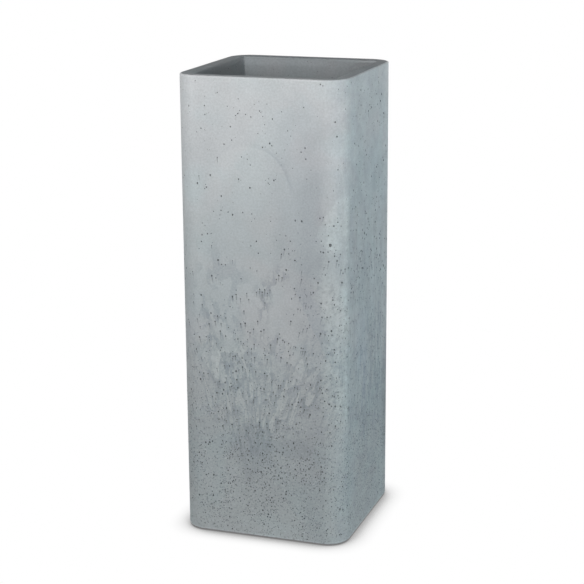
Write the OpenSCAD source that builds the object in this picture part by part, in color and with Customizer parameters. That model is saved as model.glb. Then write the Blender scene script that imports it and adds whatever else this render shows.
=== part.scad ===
// Tall square floor planter: a moulded shell with a turned-in rim, a lift-out planting
// insert that hangs on a ledge inside it, a drain grid, a drain plug and four foot pads.
// Millimetres, +Z up, origin on the ground under the middle of the planter, front on -Y.

/* [Shell] */
// Width of the shell across its flat faces
body_w = 258; // [220:1:360]
// Height from the ground to the top of the rim
body_h = 700; // [500:1:1000]
// Radius of the upright outer corners
corner_r = 34; // [20:1:50]
// Thickness of the outer wall
wall_t = 5; // [3:0.5:8]
// Radius of the outer edge round the foot
base_edge_r = 3; // [1:0.5:4]
// Thickness of the shell's floor
floor_t = 7; // [5:0.5:10]
// Depth of the recess under the middle of the floor
base_recess = 2; // [1:0.5:3]
// Radius of the recess's corners
recess_corner_r = 10; // [5:1:20]
// Width of the band between the recess and the pads
recess_margin = 4; // [3:1:8]

/* [Rim and collar] */
// Width of the rim, from the outer face to the mouth
rim_w = 20; // [14:1:30]
// Thickness of the rim's flat top
rim_t = 5; // [4:0.5:8]
// Radius of the rim's outer edge
rim_edge_r = 2.5; // [1:0.5:3]
// Radius of the rim's inner edge
mouth_edge_r = 3.5; // [1:0.5:4]
// Depth of the collar, from the top of the rim to the ledge
collar_h = 60; // [40:1:100]
// Draft of the collar's wall, in degrees
collar_draft = 5; // [2:0.5:7]
// Thickness of the collar's wall
collar_t = 4; // [3:0.5:6]
// Radius of the collar's corners at the ledge
collar_corner_r = 4; // [3:1:16]
// Width of the ledge that carries the insert
ledge_w = 8; // [6:1:14]
// Thickness of the ledge
ledge_t = 5; // [4:0.5:8]

/* [Drain in the shell] */
// Bore of the drain hole
drain_d = 16; // [10:1:24]
// Width of the boss round the drain hole
drain_boss_d = 34; // [28:1:50]
// Height of the boss above the floor
drain_boss_h = 4; // [2:1:8]
// Diameter of the plug's head
plug_head_d = 28; // [26:1:28]
// Thickness of the plug's head
plug_head_t = 4; // [3:0.5:6]
// Diameter of the plug's grip
plug_grip_d = 14; // [10:1:18]
// Height of the plug's grip
plug_grip_h = 14; // [10:1:24]
// Radial clearance of the plug in its bore
plug_clear = 0.08; // [0.04:0.01:0.1]

/* [Foot pads] */
// Diameter of a foot pad
pad_d = 22; // [16:1:30]
// Thickness of a foot pad
pad_t = 4; // [3:0.5:6]
// Depth of the pocket that holds the pad
pad_pocket = 2; // [1.5:0.5:2.5]
// Distance from the outer faces to the pad's middle
pad_inset = 34; // [28:1:45]
// Radial clearance of the pad in its pocket
pad_clear = 0.3; // [0.1:0.1:0.5]

/* [Insert] */
// Depth of the insert below the ledge
insert_h = 240; // [150:1:320]
// Thickness of the insert's wall
insert_t = 2.5; // [2:0.25:4]
// Draft of the insert's wall, in degrees
insert_draft = 3; // [1:0.5:4]
// Radius of the insert's corners at its foot
insert_corner_r = 10; // [6:1:20]
// Radius of the edge round the insert's foot
insert_edge_r = 1.2; // [0.5:0.1:1.5]
// Height of the insert's floor above its foot
insert_rise = 4; // [2:1:8]
// Thickness of the insert's floor
insert_floor_t = 3; // [2:0.5:5]
// Thickness of the flange
flange_t = 3; // [2:0.5:5]
// Height of the bead that stands round the flange's edge
flange_bead_h = 3; // [1:0.5:6]
// Thickness of the bead round the flange's edge
flange_bead_t = 2.5; // [1.5:0.5:4]
// Clearance between the flange and the collar
flange_gap = 1; // [0.5:0.25:2]
// Clearance between the insert and the edge of the ledge
insert_gap = 1; // [0.5:0.25:2]
// Diameter of the drain holes in the insert's floor
weep_d = 9; // [6:1:14]
// Number of drain holes in each ring
weep_count = 8; // [4:1:12]
// Number of rings of drain holes
weep_rings = 2; // [1:1:2]
// Radius of the inner ring of drain holes
weep_ring_r = 30; // [26:1:36]
// Spacing of the rings of drain holes
weep_ring_step = 26; // [20:1:30]

/* [Handles] */
// Width of a handle between the middles of its arms
handle_w = 90; // [70:1:110]
// Drop of a handle from its pivot to the middle of its grip
handle_drop = 50; // [40:1:56]
// Diameter of the handle's wire
handle_d = 5; // [4:0.5:6]
// Bend radius at the grip, to the middle of the wire
grip_bend_r = 12; // [8:1:20]
// Bend radius at the pivots, to the middle of the wire
pivot_bend_r = 5; // [4:0.5:8]
// Distance from the insert's inner face to the pivot
pivot_reach = 8; // [7:0.5:9]
// Depth of the pivot below the ledge
pivot_depth = 8; // [7:1:14]
// Radius of an ear's nose round the pivot
ear_r = 6; // [5:0.5:7]
// Thickness of an ear
ear_t = 5; // [4:0.5:8]
// Gap between an ear and the bend beside it
ear_gap = 0.5; // [0.3:0.1:1]
// Length of wire beyond the ear
pin_over = 2; // [1:0.5:4]
// Radial clearance of the wire in the ear
pivot_clear = 0.05; // [0.03:0.01:0.1]

/* [Drain grid] */
// Thickness of the grid's plate
grid_t = 2.5; // [2:0.5:4]
// Height of the space under the grid
grid_rise = 16; // [10:1:30]
// Clearance between the grid and the insert's wall
grid_gap = 2; // [1:0.5:3]
// Clearance between the grid and the ears that it passes on its way out
grid_ear_gap = 0.8; // [0.5:0.1:2]
// Height of the lip round the grid
lip_h = 6; // [3:1:10]
// Thickness of the lip
lip_t = 2; // [1.5:0.5:3]
// Width of a slot
slot_w = 5; // [3:0.5:8]
// Length of a slot
slot_l = 34; // [20:1:50]
// Width of the web between two slots
slot_web = 7; // [5:0.5:12]
// Width of the band round the slots that stays closed
grid_band = 14; // [12:1:20]
// Diameter of a leg
leg_d = 8; // [6:0.5:10]
// Diameter of the finger hole in the middle
finger_d = 26; // [22:1:32]
// Thickness of the tube that stands under the finger hole
finger_tube_t = 2; // [1.5:0.5:3]

/* [Hidden] */
$fn = 64;

// Colours, as the photograph shows them or as such pieces usually are
concrete_grey = [0.68, 0.71, 0.72];
insert_grey = [0.20, 0.21, 0.22];
grid_grey = [0.28, 0.29, 0.30];
wire_grey = [0.62, 0.64, 0.66];
rubber_black = [0.10, 0.10, 0.11];

// Smallest radius of an inner corner
least_r = 0.5;

// The shell stands on its pads, so its underside is this far above the ground
foot_gap = pad_t - pad_pocket;
half_w = body_w / 2;
floor_top = foot_gap + floor_t;

// The collar, from the mouth down to the ledge
ledge_z = body_h - collar_h;
ledge_half = tidy(half_w - rim_w - collar_h * tan(collar_draft));

// The insert's outer wall, at its foot and at the ledge
insert_z = ledge_z - insert_h;
insert_grow = insert_h * tan(insert_draft);
insert_top_half = ledge_half - ledge_w - insert_gap;
insert_foot_half = tidy(insert_top_half - insert_grow);
insert_floor_z = insert_z + insert_rise;
insert_floor_top = insert_floor_z + insert_floor_t;
flange_half = ledge_half - flange_gap;
flange_r = collar_corner_r - flange_gap;
bead_inner_r = max(flange_r - flange_bead_t, least_r);

// The pivots of the two handles
pivot_z = ledge_z - pivot_depth;
pivot_x = tidy(insert_half_at(pivot_z) - insert_t - pivot_reach);
ear_in_y = handle_w / 2 + pivot_bend_r + ear_gap;
pin_end_y = ear_in_y + ear_t + pin_over;

// The drain grid stands on the insert's floor
grid_z = insert_floor_top + grid_rise;
grid_at_wall = insert_half_at(insert_floor_top) - insert_t - grid_gap;
grid_half = tidy(min(grid_at_wall, pivot_x - ear_r - grid_ear_gap));
grid_r = insert_corner_r - insert_t;
slot_pitch = slot_w + slot_web;
row_pitch = slot_l + slot_web;
slot_field = 2 * (grid_half - grid_band) + slot_web;
slot_columns = floor(slot_field / slot_pitch);
slot_rows = floor(slot_field / row_pitch);
leg_at = grid_half - grid_band / 2;

// Cuts run past the faces that they open by this much
past = 1;
// Straight steps in the rounded edge of a drafted wall
edge_steps = 8;

// A length to the nearest hundredth of a millimetre
function tidy(x) = round(x * 100) / 100;

// Half the width of the insert's outer wall at a height
function insert_half_at(z) = insert_foot_half + (z - insert_z) * tan(insert_draft);

// A point at a distance and an angle
function polar(r, a) = [r * cos(a), r * sin(a)];

// The points of an arc round a centre
function arc(centre, r, from, to) =
    [for (i = [0:edge_steps]) centre + polar(r, from + (to - from) * i / edge_steps)];

// A pie slice of a disc, for rounding an edge; it turns through less than 180 degrees
module pie(r, from, to) {
    middle = (from + to) / 2;
    intersection() {
        circle(r);
        polygon([[0, 0], polar(3 * r, from), polar(3 * r, middle), polar(3 * r, to)]);
    }
}

// A flat square with round corners
module rounded_square(half, r) {
    square([2 * (half - r), 2 * half], center = true);
    square([2 * half, 2 * (half - r)], center = true);
    for (x = [-1, 1], y = [-1, 1]) {
        translate([x * (half - r), y * (half - r)]) circle(r);
    }
}

// A plate with round corners
module rounded_plate(half, r, t) {
    linear_extrude(height = t) rounded_square(half, r);
}

// Sweeps a section round a square path with round corners. The section's x counts outwards
// from the middle of the corner arc, and its y is the height.
module sweep_square(half, r) {
    at = half - r;
    for (turn = [0:90:270]) {
        rotate(turn) translate([at, at, 0]) {
            rotate_extrude(angle = 90) children();
            rotate([90, 0, 0]) linear_extrude(height = 2 * at) children();
        }
    }
}

// Section of the outer wall, with its two rounded outer edges
module wall_section() {
    low = foot_gap + base_edge_r;
    high = body_h - rim_edge_r;
    polygon([
        [corner_r - wall_t, foot_gap],
        [corner_r - base_edge_r, foot_gap],
        [corner_r - base_edge_r, low],
        [corner_r, low],
        [corner_r, high],
        [corner_r - rim_edge_r, high],
        [corner_r - rim_edge_r, body_h],
        [corner_r - wall_t, body_h]
    ]);
    translate([corner_r - base_edge_r, low]) pie(base_edge_r, 270, 360);
    translate([corner_r - rim_edge_r, high]) pie(rim_edge_r, 0, 90);
}

// Section of the collar: the rounded mouth edge, the drafted wall and the root of the ledge
module collar_section() {
    slope = tan(collar_draft);
    edge_z = body_h - mouth_edge_r;
    edge_u = collar_corner_r + (edge_z - ledge_z) * slope + mouth_edge_r / cos(collar_draft);
    back_u = collar_corner_r + collar_t;
    polygon(concat(
        [[collar_corner_r, ledge_z - ledge_t], [collar_corner_r, ledge_z]],
        arc([edge_u, edge_z], mouth_edge_r, 180 - collar_draft, 90),
        [[back_u + collar_h * slope + collar_t, body_h]],
        [[back_u + collar_h * slope + collar_t, body_h - rim_t]],
        [[back_u + (collar_h - rim_t) * slope, body_h - rim_t]],
        [[back_u, ledge_z - ledge_t]]
    ));
}

// The flat top of the rim, between the outer wall and the collar
module rim_top() {
    grow = collar_h * tan(collar_draft) + collar_t * 3 / 2;
    translate([0, 0, body_h - rim_t]) linear_extrude(height = rim_t) difference() {
        rounded_square(half_w - wall_t / 2, corner_r - wall_t / 2);
        rounded_square(ledge_half + grow, collar_corner_r + grow);
    }
}

// The ledge, open in the middle for the insert
module ledge() {
    open_half = insert_top_half + insert_gap;
    open_r = insert_corner_r + insert_grow + insert_gap;
    translate([0, 0, ledge_z - ledge_t]) linear_extrude(height = ledge_t) difference() {
        rounded_square(ledge_half + collar_t / 2, collar_corner_r + collar_t / 2);
        rounded_square(open_half, open_r);
    }
}

// Puts its children at the middles of the four pads
module at_pads() {
    at = half_w - pad_inset;
    for (x = [-1, 1], y = [-1, 1]) {
        translate([x * at, y * at, 0]) children();
    }
}

// The shell's floor, with its drain boss, its recess and the pockets for the pads
module shell_floor() {
    recess_half = half_w - pad_inset - pad_d / 2 - recess_margin;
    difference() {
        union() {
            translate([0, 0, foot_gap])
                rounded_plate(half_w - wall_t / 2, corner_r - wall_t / 2, floor_t);
            translate([0, 0, floor_top - past]) cylinder(d = drain_boss_d, h = drain_boss_h + past);
        }
        translate([0, 0, foot_gap - past]) {
            rounded_plate(recess_half, recess_corner_r, base_recess + past);
            cylinder(d = drain_d, h = floor_t + drain_boss_h + 2 * past);
            at_pads() cylinder(r = pad_d / 2 + pad_clear, h = pad_pocket + past);
        }
    }
}

// Moulded shell with the look of cast concrete
module shell() {
    color(concrete_grey) union() {
        sweep_square(half_w, corner_r) wall_section();
        sweep_square(ledge_half, collar_corner_r) collar_section();
        rim_top();
        ledge();
        shell_floor();
    }
}

// Section of the insert's drafted wall, with a rounded edge at its foot
module insert_section() {
    slope = tan(insert_draft);
    edge_u = insert_corner_r + insert_edge_r * slope - insert_edge_r / cos(insert_draft);
    top_z = ledge_z + flange_t;
    top_u = insert_corner_r + (top_z - insert_z) * slope;
    polygon(concat(
        [[insert_corner_r - insert_t, insert_z]],
        arc([edge_u, insert_z + insert_edge_r], insert_edge_r, -90, -insert_draft),
        [[top_u, top_z], [top_u - insert_t, top_z]]
    ));
}

// The flange that hangs on the ledge, with the bead round its edge
module flange() {
    inner_half = insert_top_half - insert_t / 2;
    inner_r = insert_corner_r + insert_grow - insert_t / 2;
    bead_half = flange_half - flange_bead_t;
    translate([0, 0, ledge_z]) {
        linear_extrude(height = flange_t) difference() {
            rounded_square(flange_half, flange_r);
            rounded_square(inner_half, inner_r);
        }
        linear_extrude(height = flange_t + flange_bead_h) difference() {
            rounded_square(flange_half, flange_r);
            rounded_square(bead_half, bead_inner_r);
        }
    }
}

// Floor of the insert, with its rings of drain holes round a whole middle
module insert_floor() {
    half = insert_half_at(insert_floor_z) - insert_t / 2;
    translate([0, 0, insert_floor_z]) difference() {
        rounded_plate(half, insert_corner_r - insert_t / 2, insert_floor_t);
        for (ring = [0:weep_rings - 1], i = [0:weep_count - 1]) {
            rotate((i + ring / 2) * 360 / weep_count)
                translate([weep_ring_r + ring * weep_ring_step, 0, -past])
                    cylinder(d = weep_d, h = insert_floor_t + 2 * past);
        }
    }
}

// One ear on the +X wall, from y to y + ear_t, without its bore: a round nose with a gusset
module ear(y) {
    root = insert_half_at(pivot_z) - insert_t / 2 - pivot_x;
    translate([pivot_x, y + ear_t, pivot_z]) rotate([90, 0, 0]) linear_extrude(height = ear_t) {
        circle(ear_r);
        polygon([[0, ear_r], [0, -ear_r], [root, -ear_r - root], [root, ear_r]]);
    }
}

// Lift-out planting insert
module insert() {
    color(insert_grey) difference() {
        union() {
            sweep_square(insert_foot_half, insert_corner_r) insert_section();
            flange();
            insert_floor();
            for (side = [0, 1]) mirror([side, 0, 0]) {
                ear(ear_in_y);
                ear(-ear_in_y - ear_t);
            }
        }
        for (x = [-pivot_x, pivot_x]) {
            translate([x, pin_end_y, pivot_z]) rotate([90, 0, 0])
                cylinder(r = handle_d / 2 + pivot_clear, h = 2 * pin_end_y);
        }
    }
}

// A quarter bend of wire, from the +X direction to the +Y direction round the origin
module wire_bend(bend_r) {
    rotate_extrude(angle = 90) translate([bend_r, 0]) circle(d = handle_d);
}

// Half of a handle on its +Y side, with its pivot line through the origin
module handle_half() {
    arm_y = handle_w / 2;
    arm_h = handle_drop - grip_bend_r - pivot_bend_r;
    translate([0, arm_y + pivot_bend_r, 0]) rotate([-90, 0, 0])
        cylinder(d = handle_d, h = pin_end_y - arm_y - pivot_bend_r);
    translate([0, arm_y + pivot_bend_r, -pivot_bend_r]) rotate([90, 0, 90]) rotate(90)
        wire_bend(pivot_bend_r);
    translate([0, arm_y, -pivot_bend_r - arm_h]) cylinder(d = handle_d, h = arm_h);
    translate([0, arm_y - grip_bend_r, grip_bend_r - handle_drop]) rotate([90, 0, 90]) rotate(-90)
        wire_bend(grip_bend_r);
    translate([0, 0, -handle_drop]) rotate([-90, 0, 0])
        cylinder(d = handle_d, h = arm_y - grip_bend_r);
}

// Wire handle, hanging from its ears
module handle() {
    color(wire_grey) translate([pivot_x, 0, pivot_z]) {
        handle_half();
        mirror([0, 1, 0]) handle_half();
    }
}

module handle_left() {
    mirror([1, 0, 0]) handle();
}

module handle_right() {
    handle();
}

// The slots of the drain grid, clear of its finger hole
module grid_slots() {
    keep_out = finger_d / 2 + finger_tube_t + slot_web / 2;
    run = slot_l - slot_w;
    for (i = [0:slot_columns - 1], j = [0:slot_rows - 1]) {
        x = (i - (slot_columns - 1) / 2) * slot_pitch;
        y = (j - (slot_rows - 1) / 2) * row_pitch;
        near_y = max(abs(y) - run / 2, 0);
        if (norm([x, near_y]) > keep_out + slot_w / 2) {
            translate([x, y]) {
                square([slot_w, run], center = true);
                for (end = [-1, 1]) translate([0, end * run / 2]) circle(d = slot_w);
            }
        }
    }
}

// Slotted false floor that keeps the soil above the drain holes
module drain_grid() {
    color(grid_grey) difference() {
        union() {
            translate([0, 0, grid_z]) {
                rounded_plate(grid_half, grid_r, grid_t);
                linear_extrude(height = lip_h) difference() {
                    rounded_square(grid_half, grid_r);
                    rounded_square(grid_half - lip_t, grid_r - lip_t);
                }
            }
            translate([0, 0, insert_floor_top]) {
                cylinder(r = finger_d / 2 + finger_tube_t, h = grid_rise + past);
                for (x = [-1, 0, 1], y = [-1, 0, 1]) {
                    if (x != 0 || y != 0) {
                        translate([x * leg_at, y * leg_at, 0]) cylinder(d = leg_d, h = grid_rise + past);
                    }
                }
            }
        }
        translate([0, 0, insert_floor_top - past])
            cylinder(d = finger_d, h = grid_rise + grid_t + 2 * past);
        translate([0, 0, grid_z - past]) linear_extrude(height = grid_t + 2 * past) grid_slots();
    }
}

// Rubber drain plug, pushed in from above
module drain_plug() {
    stem_h = floor_t + drain_boss_h - base_recess;
    seat_z = floor_top + drain_boss_h;
    waist_r = plug_grip_d / 4;
    color(rubber_black) translate([0, 0, seat_z]) rotate_extrude() {
        translate([0, -stem_h]) square([drain_d / 2 - plug_clear, stem_h]);
        square([plug_head_d / 2, plug_head_t]);
        difference() {
            square([plug_grip_d / 2, plug_head_t + plug_grip_h]);
            translate([plug_grip_d / 2 + waist_r / 2, plug_head_t + plug_grip_h / 2]) circle(waist_r);
        }
    }
}

// Foot pad, seated in its pocket
module foot(x, y) {
    at = half_w - pad_inset;
    color(rubber_black) translate([x * at, y * at, 0]) cylinder(d = pad_d, h = pad_t);
}

module foot_front_left() {
    foot(-1, -1);
}

module foot_front_right() {
    foot(1, -1);
}

module foot_back_left() {
    foot(-1, 1);
}

module foot_back_right() {
    foot(1, 1);
}

shell();
insert();
handle_left();
handle_right();
drain_grid();
drain_plug();
foot_front_left();
foot_front_right();
foot_back_left();
foot_back_right();
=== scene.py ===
"""Looks of the tall square planter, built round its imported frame. Metres, +Z up, front on -Y."""
import functools
import math
import operator
import random

import bmesh
import bpy
import numpy as np
from mathutils import Matrix, Vector, noise
from mathutils.geometry import delaunay_2d_cdt


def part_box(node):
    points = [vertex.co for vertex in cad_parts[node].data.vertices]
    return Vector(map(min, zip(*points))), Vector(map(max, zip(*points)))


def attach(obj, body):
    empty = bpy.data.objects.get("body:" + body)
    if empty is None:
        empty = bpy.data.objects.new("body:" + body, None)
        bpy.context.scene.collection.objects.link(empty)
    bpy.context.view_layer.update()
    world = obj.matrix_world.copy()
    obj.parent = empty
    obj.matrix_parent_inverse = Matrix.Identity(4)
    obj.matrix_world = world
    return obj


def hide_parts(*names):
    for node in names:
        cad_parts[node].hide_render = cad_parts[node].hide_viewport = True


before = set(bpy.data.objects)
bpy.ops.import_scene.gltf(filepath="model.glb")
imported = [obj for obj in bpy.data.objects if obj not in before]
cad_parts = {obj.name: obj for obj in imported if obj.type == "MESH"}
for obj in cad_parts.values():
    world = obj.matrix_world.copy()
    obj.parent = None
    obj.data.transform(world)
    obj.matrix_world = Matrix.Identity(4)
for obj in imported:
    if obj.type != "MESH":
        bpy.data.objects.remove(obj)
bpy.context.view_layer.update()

MM = 0.001

# Sizes of the shell: the first three come from the frame, the others are the part's own
SHELL_LOW, SHELL_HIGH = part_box("shell")
HALF = round(SHELL_HIGH.x, 5)
TOP = round(SHELL_HIGH.z, 5)
FOOT = round(SHELL_LOW.z, 5)
CORNER_R = 34 * MM
BASE_EDGE_R = 3 * MM
RIM_EDGE_R = 2.5 * MM
RIM_W = 20 * MM
RIM_T = 5 * MM
MOUTH_EDGE_R = 3.5 * MM
COLLAR_H = 60 * MM
COLLAR_DRAFT = math.radians(5)
COLLAR_CORNER_R = 4 * MM
LEDGE_Z = TOP - COLLAR_H
LEDGE_HALF = round(HALF - RIM_W - COLLAR_H * math.tan(COLLAR_DRAFT), 5)
# How much sharper the collar's corners are at the rim than corners of an even draft would be
COLLAR_SHARPER = 7 * MM

# Steps of the rebuilt surfaces: of a rounded edge, round a corner, along a side and up a corner
EDGE_STEPS = 6
CORNER_STEPS = 16
SIDE_STEPS = 8
CORNER_ROW = 8 * MM
# Points closer than this are one point
WELD = 0.002 * MM
# Edges that turn by more than this stay sharp, such as the rims of the pores
SHARP_ANGLE = math.radians(27)


class Outline:
    """A square path with round corners. A place on it is its distance along the path, which
    runs anticlockwise from the start of the back left corner."""

    def __init__(self, half, radius):
        self.reach = half - radius
        self.radius = radius
        self.arc = radius * math.pi / 2
        self.side = self.arc + 2 * self.reach
        self.length = 4 * self.side
        a = self.reach
        self.middles = np.array([[-a, a], [-a, -a], [a, -a], [a, a]])

    def spots(self, along):
        """The points from which the offsets are counted, and the outward directions."""
        along = np.asarray(along, float) % self.length
        quarter = np.minimum((along // self.side).astype(int), 3)
        rest = along - quarter * self.side
        turn = np.minimum(rest, self.arc) / self.radius
        angle = math.pi / 2 * (1 + quarter) + turn
        outward = np.stack([np.cos(angle), np.sin(angle)], axis=-1)
        straight = np.maximum(rest - self.arc, 0)
        ahead = math.pi * (1 + quarter / 2) + math.pi / 2
        onward = np.stack([np.cos(ahead), np.sin(ahead)], axis=-1)
        return self.middles[quarter] + onward * straight[..., None], outward

    def points(self, along, offset, height, sharper=0.0):
        """Points at a distance outwards from the corner middles, and at a height. The walls keep
        their places where the corners are sharper."""
        base, outward = self.spots(along)
        sharper = np.broadcast_to(sharper, np.shape(along))[..., None]
        offset = np.broadcast_to(offset, np.shape(along))[..., None]
        flat = base * (1 + sharper / self.reach) + outward * (offset - sharper)
        return np.column_stack([flat, np.broadcast_to(height, np.shape(along))])

    def offset_of(self, points, sharper=0.0):
        """How far outwards points lie, counted as in points()."""
        beyond = np.abs(points[:, :2]) - self.reach - sharper
        return np.hypot(*np.maximum(beyond, 0).T) + np.minimum(beyond.max(axis=1), 0) + sharper

    def along_of(self, points):
        """The places of points that lie outside the square of the corner middles."""
        base = np.clip(points[:, :2], -self.reach, self.reach)
        outward = points[:, :2] - base
        turn = (np.arctan2(outward[:, 1], outward[:, 0]) - math.pi / 2) % (2 * math.pi)
        quarter = np.round(turn / (math.pi / 2), 4)
        corner = np.floor(quarter).astype(int) % 4
        before = (corner - 1) % 4
        straight = np.hypot(*(base - self.middles[before]).T)
        on_side = before * self.side + self.arc + straight
        on_corner = corner * self.side + (quarter - np.floor(quarter)) * self.arc
        place = np.where(quarter == np.floor(quarter), on_side, on_corner) % self.length
        return np.where(self.length - place < WELD, 0.0, place)


OUTER = Outline(HALF, CORNER_R)
INNER = Outline(LEDGE_HALF, COLLAR_CORNER_R)


def even_columns(outline):
    """Places on an outline at even steps in its corners and along its sides."""
    places = []
    for quarter in range(4):
        start = quarter * outline.side
        places += [start + outline.arc * i / CORNER_STEPS for i in range(CORNER_STEPS)]
        straight = outline.side - outline.arc
        places += [start + outline.arc + straight * i / SIDE_STEPS for i in range(SIDE_STEPS)]
    return np.array(places)


class Skin:
    """Surfaces that are gathered into one mesh. wall marks the faces of the outer wall, pit those
    inside pores, and stain the vertices of the darker tails under pores."""

    def __init__(self):
        self.points, self.faces = [], []
        self.walls, self.pits, self.stains = [], [], []
        self.count = 0

    def add(self, points, faces, wall, pit=None, stain=None):
        faces = np.asarray(faces, int)
        self.points.append(np.asarray(points, float))
        self.faces.append(faces + self.count)
        self.walls.append(np.full(len(faces), float(wall)))
        self.pits.append(np.zeros(len(faces)) if pit is None else pit)
        self.stains.append(np.zeros(len(points)) if stain is None else stain)
        self.count += len(points)

    def add_strip(self, outline, columns, profile, wall, sharper=0.0):
        """A rounded edge that runs right round: rows of points at (offset, height)."""
        rows = [outline.points(columns, offset, height, sharper) for offset, height in profile]
        n = len(columns)
        here = np.arange(n)
        after = (here + 1) % n
        quads = np.stack([here, after, after + n, here + n], axis=1)
        triangles = np.vstack([quads[:, [0, 1, 2]], quads[:, [0, 2, 3]]])
        for low, high in zip(rows, rows[1:]):
            self.add(np.vstack([low, high]), triangles, wall)

    def build(self, name):
        points = np.vstack(self.points)
        faces = np.vstack(self.faces)
        mesh = bpy.data.meshes.new(name)
        mesh.from_pydata(points.tolist(), [], faces.tolist())
        for key, domain, parts in (
                ("wall", "FACE", self.walls), ("pit", "FACE", self.pits), ("stain", "POINT", self.stains)):
            values = np.concatenate(parts).astype(np.float32)
            mesh.attributes.new(key, "FLOAT", domain).data.foreach_set("value", values)
        return mesh


class Pores:
    """Pores scattered over a flat sheet, in millimetres, none touching another. They are looked up
    by square cells, and GAP and BORDER stay free between them and along the sheet's border."""

    CELL = 4.0
    GAP = 0.3
    BORDER = 1.0
    TAIL_STEP = 1.5
    TAIL_SWELL = 1.2

    def __init__(self, seed, low, high):
        self.dice = random.Random(seed)
        self.low, self.high = low, high
        self.cells = {}
        self.kept = []

    def clear_of(self, x, y, gap):
        """Is a point clear of every pore?"""
        i, j = int(x // self.CELL), int(y // self.CELL)
        for cell in ((i + a, j + b) for a in (-1, 0, 1) for b in (-1, 0, 1)):
            for other_x, other_y, other_r in self.cells.get(cell, ()):
                if math.hypot(x - other_x, y - other_y) < other_r + gap:
                    return False
        return True

    def is_free(self, discs):
        for x, y, r in discs:
            border = r + self.BORDER
            if not (self.low[0] + border < x < self.high[0] - border):
                return False
            if not (self.low[1] + border < y < self.high[1] - border):
                return False
            if not self.clear_of(x, y, r + self.GAP):
                return False
        return True

    def put(self, x, y, r, stretch, tail=0.0, lean=0.0):
        """Keeps a pore if its place is free. tail is the length of the stain below it."""
        discs = [(x, y, r * stretch)]
        steps = int(tail / self.TAIL_STEP)
        for i in range(1, steps + 1):
            down = r + tail * i / steps
            discs.append((x + lean * down, y - down, r * self.TAIL_SWELL))
        if not self.is_free(discs):
            return
        for disc in discs:
            cell = int(disc[0] // self.CELL), int(disc[1] // self.CELL)
            self.cells.setdefault(cell, []).append(disc)
        self.kept.append((x, y, r, stretch, tail, lean))


class Sheet:
    """A flat sheet of triangles with pores in it, in millimetres. Pores under the radius SMALL have
    the fewest sides. Wider ones have an inner ring too, at INNER of the radius and FLOOR of the
    depth."""

    SMALL = 0.8
    WIDE = 1.5
    DEEPEST = 2.4
    INNER = 0.56
    FLOOR = 0.8
    # The stained points of a tail: share of its length, distance aside in the pore's radii, strength
    TAIL_POINTS = ((0.10, 0.45, 1.0), (0.42, 0.62, 0.9), (0.72, 0.3, 0.6))

    def __init__(self):
        self.points, self.edges, self.holes = [], [], []
        self.depth, self.stain = [], []

    def point(self, x, y, depth=0.0, stain=0.0):
        self.points.append(Vector((x, y)))
        self.depth.append(depth)
        self.stain.append(stain)
        return len(self.points) - 1

    def ring(self, places):
        """A closed run of points."""
        made = [self.point(x, y) for x, y in places]
        self.edges += list(zip(made, made[1:] + made[:1]))

    def pore(self, dice, x, y, r, stretch, tail, lean):
        """A pit with an uneven rim, and the stained tail under it."""
        sides = 6 if r < self.SMALL else 8 if r < self.WIDE else 12
        depth = min(r * dice.uniform(1.1, 1.6), self.DEEPEST)
        rim = []
        for i in range(sides):
            angle = 2 * math.pi * (i + 0.5) / sides
            reach = r * dice.uniform(0.86, 1.12)
            rim.append(self.point(x + reach * math.cos(angle), y + reach * stretch * math.sin(angle)))
        self.holes.append(rim)
        self.point(x, y + 0.1 * r, depth)
        if r >= self.SMALL:
            count = sides // 2 if r < self.WIDE else sides
            inner = self.INNER * r
            for i in range(count):
                angle = 2 * math.pi * (i + 0.25) / count
                place = x + inner * math.cos(angle), y + inner * stretch * math.sin(angle)
                self.point(*place, self.FLOOR * depth)
        if tail > 0:
            self.tail(x, y, r, tail, lean, rim)

    def tail(self, x, y, r, tail, lean, rim):
        """The outline of a tail and the stained points inside it, from the lower half of its
        pore's rim."""
        def at(across, down, stain=0.0):
            return self.point(x + across + lean * down, y - down, 0, stain)

        left = min(rim, key=lambda i: self.points[i].x + 0.5 * self.points[i].y)
        right = max(rim, key=lambda i: self.points[i].x - 0.5 * self.points[i].y)
        tip = at(0, r + tail)
        wide = [at(side * 1.25 * r, r + 0.45 * tail) for side in (-1, 1)]
        self.edges += [(left, wide[0]), (wide[0], tip), (tip, wide[1]), (wide[1], right)]
        for share, half, stain in self.TAIL_POINTS:
            for side in (-1, 1):
                at(side * half * r, r + tail * share, stain)

    def triangles(self):
        """(points, faces, depth, stain, pit), with the depth and stain of each point and whether
        each face is inside a pore."""
        made = delaunay_2d_cdt(self.points, self.edges, self.holes, 0, 1e-5, True)
        points, _, faces, first_points, _, first_faces = made
        depth = np.array([self.depth[ids[0]] if ids else 0.0 for ids in first_points])
        stain = np.array([self.stain[ids[0]] if ids else 0.0 for ids in first_points])
        pit = np.array([1.0 if ids else 0.0 for ids in first_faces])
        return np.array([p[:] for p in points]), np.array(faces), depth, stain, pit


def noise_at(x, y, z, size):
    """Smooth noise from -1 to 1 with features of about that size; all in millimetres."""
    return noise.noise(Vector((x, y, z)) / size)


def piecewise(x, stops):
    """A value read off a line through (x, value) stops."""
    return float(np.interp(x, [s[0] for s in stops], [s[1] for s in stops]))


# Pores per square metre, their usual radius and the share with a tail, by height in millimetres
PORE_DENSITY = ((0, 46000), (90, 38000), (170, 21000), (300, 15000), (360, 9000), (470, 3600), (700, 2600))
PORE_RADIUS = ((0, 0.58), (110, 0.72), (200, 0.80), (400, 0.85), (550, 0.70), (700, 0.62))
TAIL_SHARE = ((0, 0.0), (140, 0.0), (200, 0.85), (350, 0.8), (430, 0.5), (480, 0.1), (700, 0.05))
DENSEST_PORES = 60000
# Smallest and largest radius of a scattered pore, and the smallest one that can have a tail
PORE_LIMITS = (0.42, 1.25)
LEAST_WITH_TAIL = 0.6
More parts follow.
